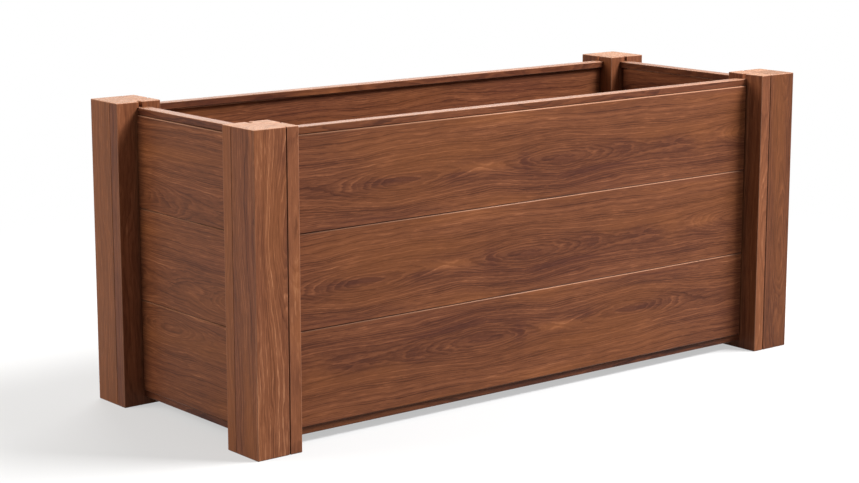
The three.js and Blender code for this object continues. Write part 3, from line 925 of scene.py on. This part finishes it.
def upright(name, corner, outline_at, changes):
    """A part of a post: its outline carried up from the ground."""
    origin, axes = corner_axes(corner)
    rings = origin + rings_up(stations_along(outline_at, 0.0, POST_HEIGHT, POST_ROUND, changes)) @ axes
    return closed_tube(f"{name}_wood", rings[:, ::-1] if np.linalg.det(axes) < 0 else rings)


# ================ Screws ================


def screw_axes(node):
    """The middle of a screw's head, the unit vector to its point, and its length.

    The head looks into the box.
    """
    low, high = node_box(node)
    middle, span = (low + high) / 2, high - low
    way = np.zeros(3)
    longest = int(span.argmax())
    way[longest] = math.copysign(1.0, middle[longest])
    return middle - way * span[longest] / 2, way, float(span[longest])


def turned_rings(origin, way, profile):
    """Rings of a turned piece, from a profile of (distance along its axis, radius).

    A point of a ring is origin + distance·way + radius·(cos(a)·side + sin(a)·other), for a round the circle.
    """
    side = np.roll(way, 1)
    other = np.cross(way, side)
    angle = np.linspace(0, 2 * math.pi, SCREW_SIDES, endpoint=False)[None, :, None]
    along, radius = (np.array(values)[:, None, None] for values in zip(*profile))
    return origin + along * way + radius * (np.cos(angle) * side + np.sin(angle) * other)


def cut_away(piece, tools):
    """Take closed shapes away from a piece, for good."""
    for tool in tools:
        cut = piece.modifiers.new(tool.name, "BOOLEAN")
        cut.operation, cut.solver, cut.object = "DIFFERENCE", "EXACT", tool
    settled = bpy.data.meshes.new_from_object(piece.evaluated_get(bpy.context.evaluated_depsgraph_get()))
    piece.modifiers.clear()
    piece.data = settled
    for tool in tools:
        bpy.data.objects.remove(tool)


def bore(piece, screws):
    """Cut a screw's hole, its own shape grown by the clearance, for each of the screws."""
    head, shank = SCREW_HEAD_RADIUS + FIT, SCREW_RADIUS + FIT
    holes = []
    for number, node in enumerate(screws):
        origin, way, length = screw_axes(node)
        profile = [(-HOLE_MOUTH, head), (0, head), (SCREW_HEAD_HEIGHT, shank)]
        profile += [(length - SCREW_POINT, shank), (length + FIT, HAIR)]
        holes.append(closed_tube(f"hole_{number}", turned_rings(origin, way, profile)))
    cut_away(piece, holes)


def drive_cross(origin, way):
    """The shape to be sunk in a screw's head: a cross that narrows as it goes down."""
    side = np.roll(way, 1)
    other = np.cross(way, side)
    arm, half = DRIVE_SPAN / 2, DRIVE_WIDTH / 2
    quarter = np.array([(arm, -half), (arm, half), (half, half)])
    outline = []
    for angle in np.arange(4) * math.pi / 2:
        turn = ((math.cos(angle), math.sin(angle)), (-math.sin(angle), math.cos(angle)))
        outline.append(quarter @ turn)
    cross = np.concatenate(outline) @ (side, other)
    levels = ((-SCREW_RIM, 1.0), (DRIVE_DEPTH, 1.0 - DRIVE_TAPER))
    return closed_tube("drive", np.array([origin + depth * way + size * cross for depth, size in levels]))


def steel_screw(node):
    """A countersunk screw turned from its profile, with a cross sunk in its head."""
    origin, way, length = screw_axes(node)
    profile = [
        (0, SCREW_HEAD_RADIUS - SCREW_RIM),
        (SCREW_RIM / 3, SCREW_HEAD_RADIUS - SCREW_RIM / 4),
        (SCREW_RIM, SCREW_HEAD_RADIUS),
        (SCREW_HEAD_HEIGHT, SCREW_RADIUS),
        (length - SCREW_POINT, SCREW_RADIUS),
        (length, HAIR),
    ]
    screw = closed_tube(f"{node}_steel", turned_rings(origin, way, profile))
    cut_away(screw, [drive_cross(origin, way)])
    screw.data.polygons.foreach_set("use_smooth", abs(face_normals(screw.data) @ way) < SMOOTH_BELOW)
    return screw


# ================ Floor ================


def slat_corners(node):
    """Plan of a floor slat. The end slats are notched round the posts."""
    low, high = node_box(node)
    notch_x = abs(node_box("front_left_post_long_stile")[1][0]) - SLAT_CLEARANCE
    notch_y = abs(node_box("front_left_post_end_stile")[1][1]) - SLAT_CLEARANCE
    if low[0] < -notch_x:
        corners = [(-notch_x, low[1]), (high[0], low[1]), (high[0], high[1]), (-notch_x, high[1])]
        return [*corners, (-notch_x, notch_y), (low[0], notch_y), (low[0], -notch_y), (-notch_x, -notch_y)]
    if high[0] > notch_x:
        corners = [(low[0], low[1]), (notch_x, low[1]), (notch_x, -notch_y), (high[0], -notch_y)]
        return [*corners, (high[0], notch_y), (notch_x, notch_y), (notch_x, high[1]), (low[0], high[1])]
    return [(low[0], low[1]), (high[0], low[1]), (high[0], high[1]), (low[0], high[1])]


def plain_section(corners):
    """The section of a floor piece: the same all along, with every corner rounded alike."""

    def outline_at(_, inset):
        return inset_outline(corners, [FLOOR_ROUND] * len(corners), inset)

    return outline_at


def floor_slat(node):
    """A slat's plan carried up through its thickness."""
    low, high = node_box(node)
    stations = stations_along(plain_section(slat_corners(node)), low[2], high[2], FLOOR_ROUND)
    return closed_tube(f"{node}_wood", rings_up(stations))


def cleat(node, wall):
    """A plain rectangle carried along the wall."""
    low, high = box_in_wall(node, wall)
    corners = [(low[1], low[2]), (high[1], low[2]), (high[1], high[2]), (low[1], high[2])]
    stations = stations_along(plain_section(corners), low[0], high[0], FLOOR_ROUND)
    return closed_tube(f"{node}_wood", from_wall(rings_along(stations), wall))


# ================ Assembly ================

SLAT_GRAIN = ((0, 1, 0), (0, 0, -1), (1, 0, 0))  # along the slat, down into it and across it


def laid(name):
    """A piece's place in the log: the listed one, or else one worked out from its name."""
    if name in LAID:
        return LAID[name]
    number = sum(weight * ord(letter) for weight, letter in enumerate(name, LAID_FIRST_WEIGHT))
    return {
        "start": LAID_START_STEP * (number % LAID_STARTS),
        "rise": LAID_RISE_STEP * (number % LAID_RISES - LAID_RISES // 2),
        "turned": number % 2 == 1,
    }


def cleat_screws(wall):
    """The screws that hold the cleat of a long wall."""
    return [f"{wall}_cleat_screw_{number}" for number in CLEAT_SCREWS]


for wall in WALLS:
    for number in BOARDS:
        name = f"{wall}_board_{number}"
        board = wall_piece(name, wall, BOARD_ROUND, grooved=True, tongued=True, gap=SHOULDER_GAP)
        if number == BOARDS[0]:
            kind = "long" if wall in LONG_WALLS else "end"
            screws = [f"{corner}_{kind}_lock_screw" for corner in CORNERS if wall in corner]
            if kind == "long":
                screws += cleat_screws(wall)
            bore(board, screws)
        # The top board's arrises, the ledge under the rail, get full wear and painted highlight; the others
        # get as much as their wall's.
        wear_and_highlight = 1.0 if number == BOARDS[-1] else SEAM_WEAR_AND_HIGHLIGHT[wall]
        mark_wall_piece(board, name, wall, wear_and_highlight=wear_and_highlight, **laid(name))
        dress(board, name, OILED_BOARD)
    # The bottom rails, and the top rails of the back and right walls, get painted shade through their tone.
    for place, grooved, tone in (("bottom", False, BOTTOM_RAIL_SHADE), ("top", True, TOP_RAIL_SHADES[wall])):
        name = f"{wall}_{place}_rail"
        rail = wall_piece(name, wall, RAIL_ROUND, grooved=grooved, tongued=not grooved)
        mark_wall_piece(rail, name, wall, tone=tone, **laid(name))
        dress(rail, name, OILED_RAIL)

for corner in CORNERS:
    origin, axes = corner_axes(corner)
    grain_axes = (axes[2], axes[1], axes[0])
    name = f"{corner}_post_core"
    core = upright(name, corner, core_outline, (KEY_STOPS[0] - FIT, KEY_STOPS[1] + FIT))
    mark_wood(core, origin, grain_axes, **laid(name))
    dress(core, name, OILED_POST)
    end_screw, long_screw = f"{corner}_end_lock_screw", f"{corner}_long_lock_screw"
    for kind, outline_at, screws in (
        ("long", long_stile_outline, [end_screw, long_screw]),
        ("end", end_stile_outline, [end_screw]),
    ):
        name = f"{corner}_post_{kind}_stile"
        stile = upright(name, corner, outline_at, (GROOVE_BOTTOM, *KEY_STOPS))
        bore(stile, screws)
        mark_wood(stile, origin, grain_axes, **laid(name))
        dress(stile, name, OILED_STILE)

for wall in LONG_WALLS:
    name = f"{wall}_cleat"
    piece = cleat(name, wall)
    bore(piece, cleat_screws(wall))
    mark_wall_piece(piece, name, wall, **laid(name))
    dress(piece, name, BARE_FLOOR)

for name in sorted(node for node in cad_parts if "floor_slat" in node):
    slat = floor_slat(name)
    low, high = node_box(name)
    mark_wood(slat, ((low[0] + high[0]) / 2, low[1], high[2]), SLAT_GRAIN, **laid(name))
    dress(slat, name, BARE_FLOOR)

for name in sorted(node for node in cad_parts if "screw" in node):
    dress(steel_screw(name), name, STAINLESS)

# ================ Stage, light and camera ================


def seen_directly(w):
    """1 for rays from the camera, mirror images and glass, 0 for those that only carry light about."""
    path = w.add("ShaderNodeLightPath")
    seen = w.math("MAXIMUM", path.outputs["Is Camera Ray"], path.outputs["Is Glossy Ray"])
    return w.math("MAXIMUM", seen, path.outputs["Is Transmission Ray"])


def pale_floor():
    """A wide pale floor. Away from the object it is seen as plain white; near it the shadow stays."""
    reach = FLOOR_REACH
    corners = [(-reach, -reach, 0), (reach, -reach, 0), (reach, reach, 0), (-reach, reach, 0)]
    mesh = bpy.data.meshes.new("floor")
    mesh.from_pydata(corners, [], [(0, 1, 2, 3)])
    floor = new_object("floor", mesh)
    floor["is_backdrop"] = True
    material, w, shader = new_material("pale_floor")
    shader.inputs["Roughness"].default_value = FLOOR_ROUGHNESS
    shader.inputs["Specular IOR Level"].default_value = FLOOR_SPECULAR
    white = w.add("ShaderNodeEmission")
    white.inputs["Strength"].default_value = 1.0
    seen = seen_directly(w)
    w.feed(shader.inputs["Base Color"], w.mix(seen, FLOOR_BOUNCE, FLOOR_COLOUR))
    x, y, _ = w.split(w.add("ShaderNodeTexCoord").outputs["Object"])
    away = w.math("SQRT", w.math("MULTIPLY_ADD", x, x, w.math("MULTIPLY", y, y)))
    plain = w.fade(away, *SHADOW_REACH)
    share = w.math("MULTIPLY", seen, w.math("MULTIPLY_ADD", plain, 1 - SHADOW_WHITENING, SHADOW_WHITENING))
    both = w.add("ShaderNodeMixShader")
    for socket, value in zip(both.inputs, (share, shader.outputs[0], white.outputs[0])):
        w.feed(socket, value)
    w.feed(material.node_tree.nodes["Material Output"].inputs["Surface"], both.outputs[0])
    mesh.materials.append(material)


def studio_world():
    """Weak, even light all round, which the camera and reflections see as white."""
    world = bpy.data.worlds.new("studio")
    world.use_nodes = True
    bpy.context.scene.world = world
    w = Wiring(world.node_tree)
    strength = w.math("MULTIPLY_ADD", seen_directly(w), 1 - AMBIENT, AMBIENT)
    background = world.node_tree.nodes["Background"]
    w.feed(background.inputs["Strength"], strength)
    background.inputs["Color"].default_value = (1, 1, 1, 1)


def softbox(name, azimuth, elevation, size, level, colour=(1.0, 1.0, 1.0), mirrored=True):
    """A square lamp that looks at the middle of the object.

    Its power is level·pi²·distance², which lights a surface that faces it to `level`.
    """
    a, e = math.radians(azimuth), math.radians(elevation)
    outwards = np.array((math.sin(a) * math.cos(e), -math.cos(a) * math.cos(e), math.sin(e)))
    lamp = bpy.data.lights.new(name, "AREA")
    lamp.energy = level * math.pi**2 * LAMP_DISTANCE**2
    lamp.size = size
    lamp.color = colour
    holder = new_object(name, lamp)
    holder.location = (0.0, 0.0, POST_HEIGHT / 2) + LAMP_DISTANCE * outwards
    holder.rotation_mode = "QUATERNION"
    holder.rotation_quaternion = Vector(-outwards).to_track_quat("-Z", "Y")
    holder.visible_camera = False
    holder.visible_glossy = mirrored


pale_floor()
studio_world()
for name, settings in LAMPS.items():
    softbox(name, **settings)

lens = bpy.data.cameras.new("camera")
lens.lens = CAMERA_LENS
camera = new_object("camera", lens)
camera.location = CAMERA_PLACE
camera.rotation_euler = (math.radians(90 - CAMERA_PITCH), 0, math.radians(CAMERA_YAW - 90))
bpy.context.scene.camera = camera
bpy.context.scene.view_settings.view_transform = "Standard"
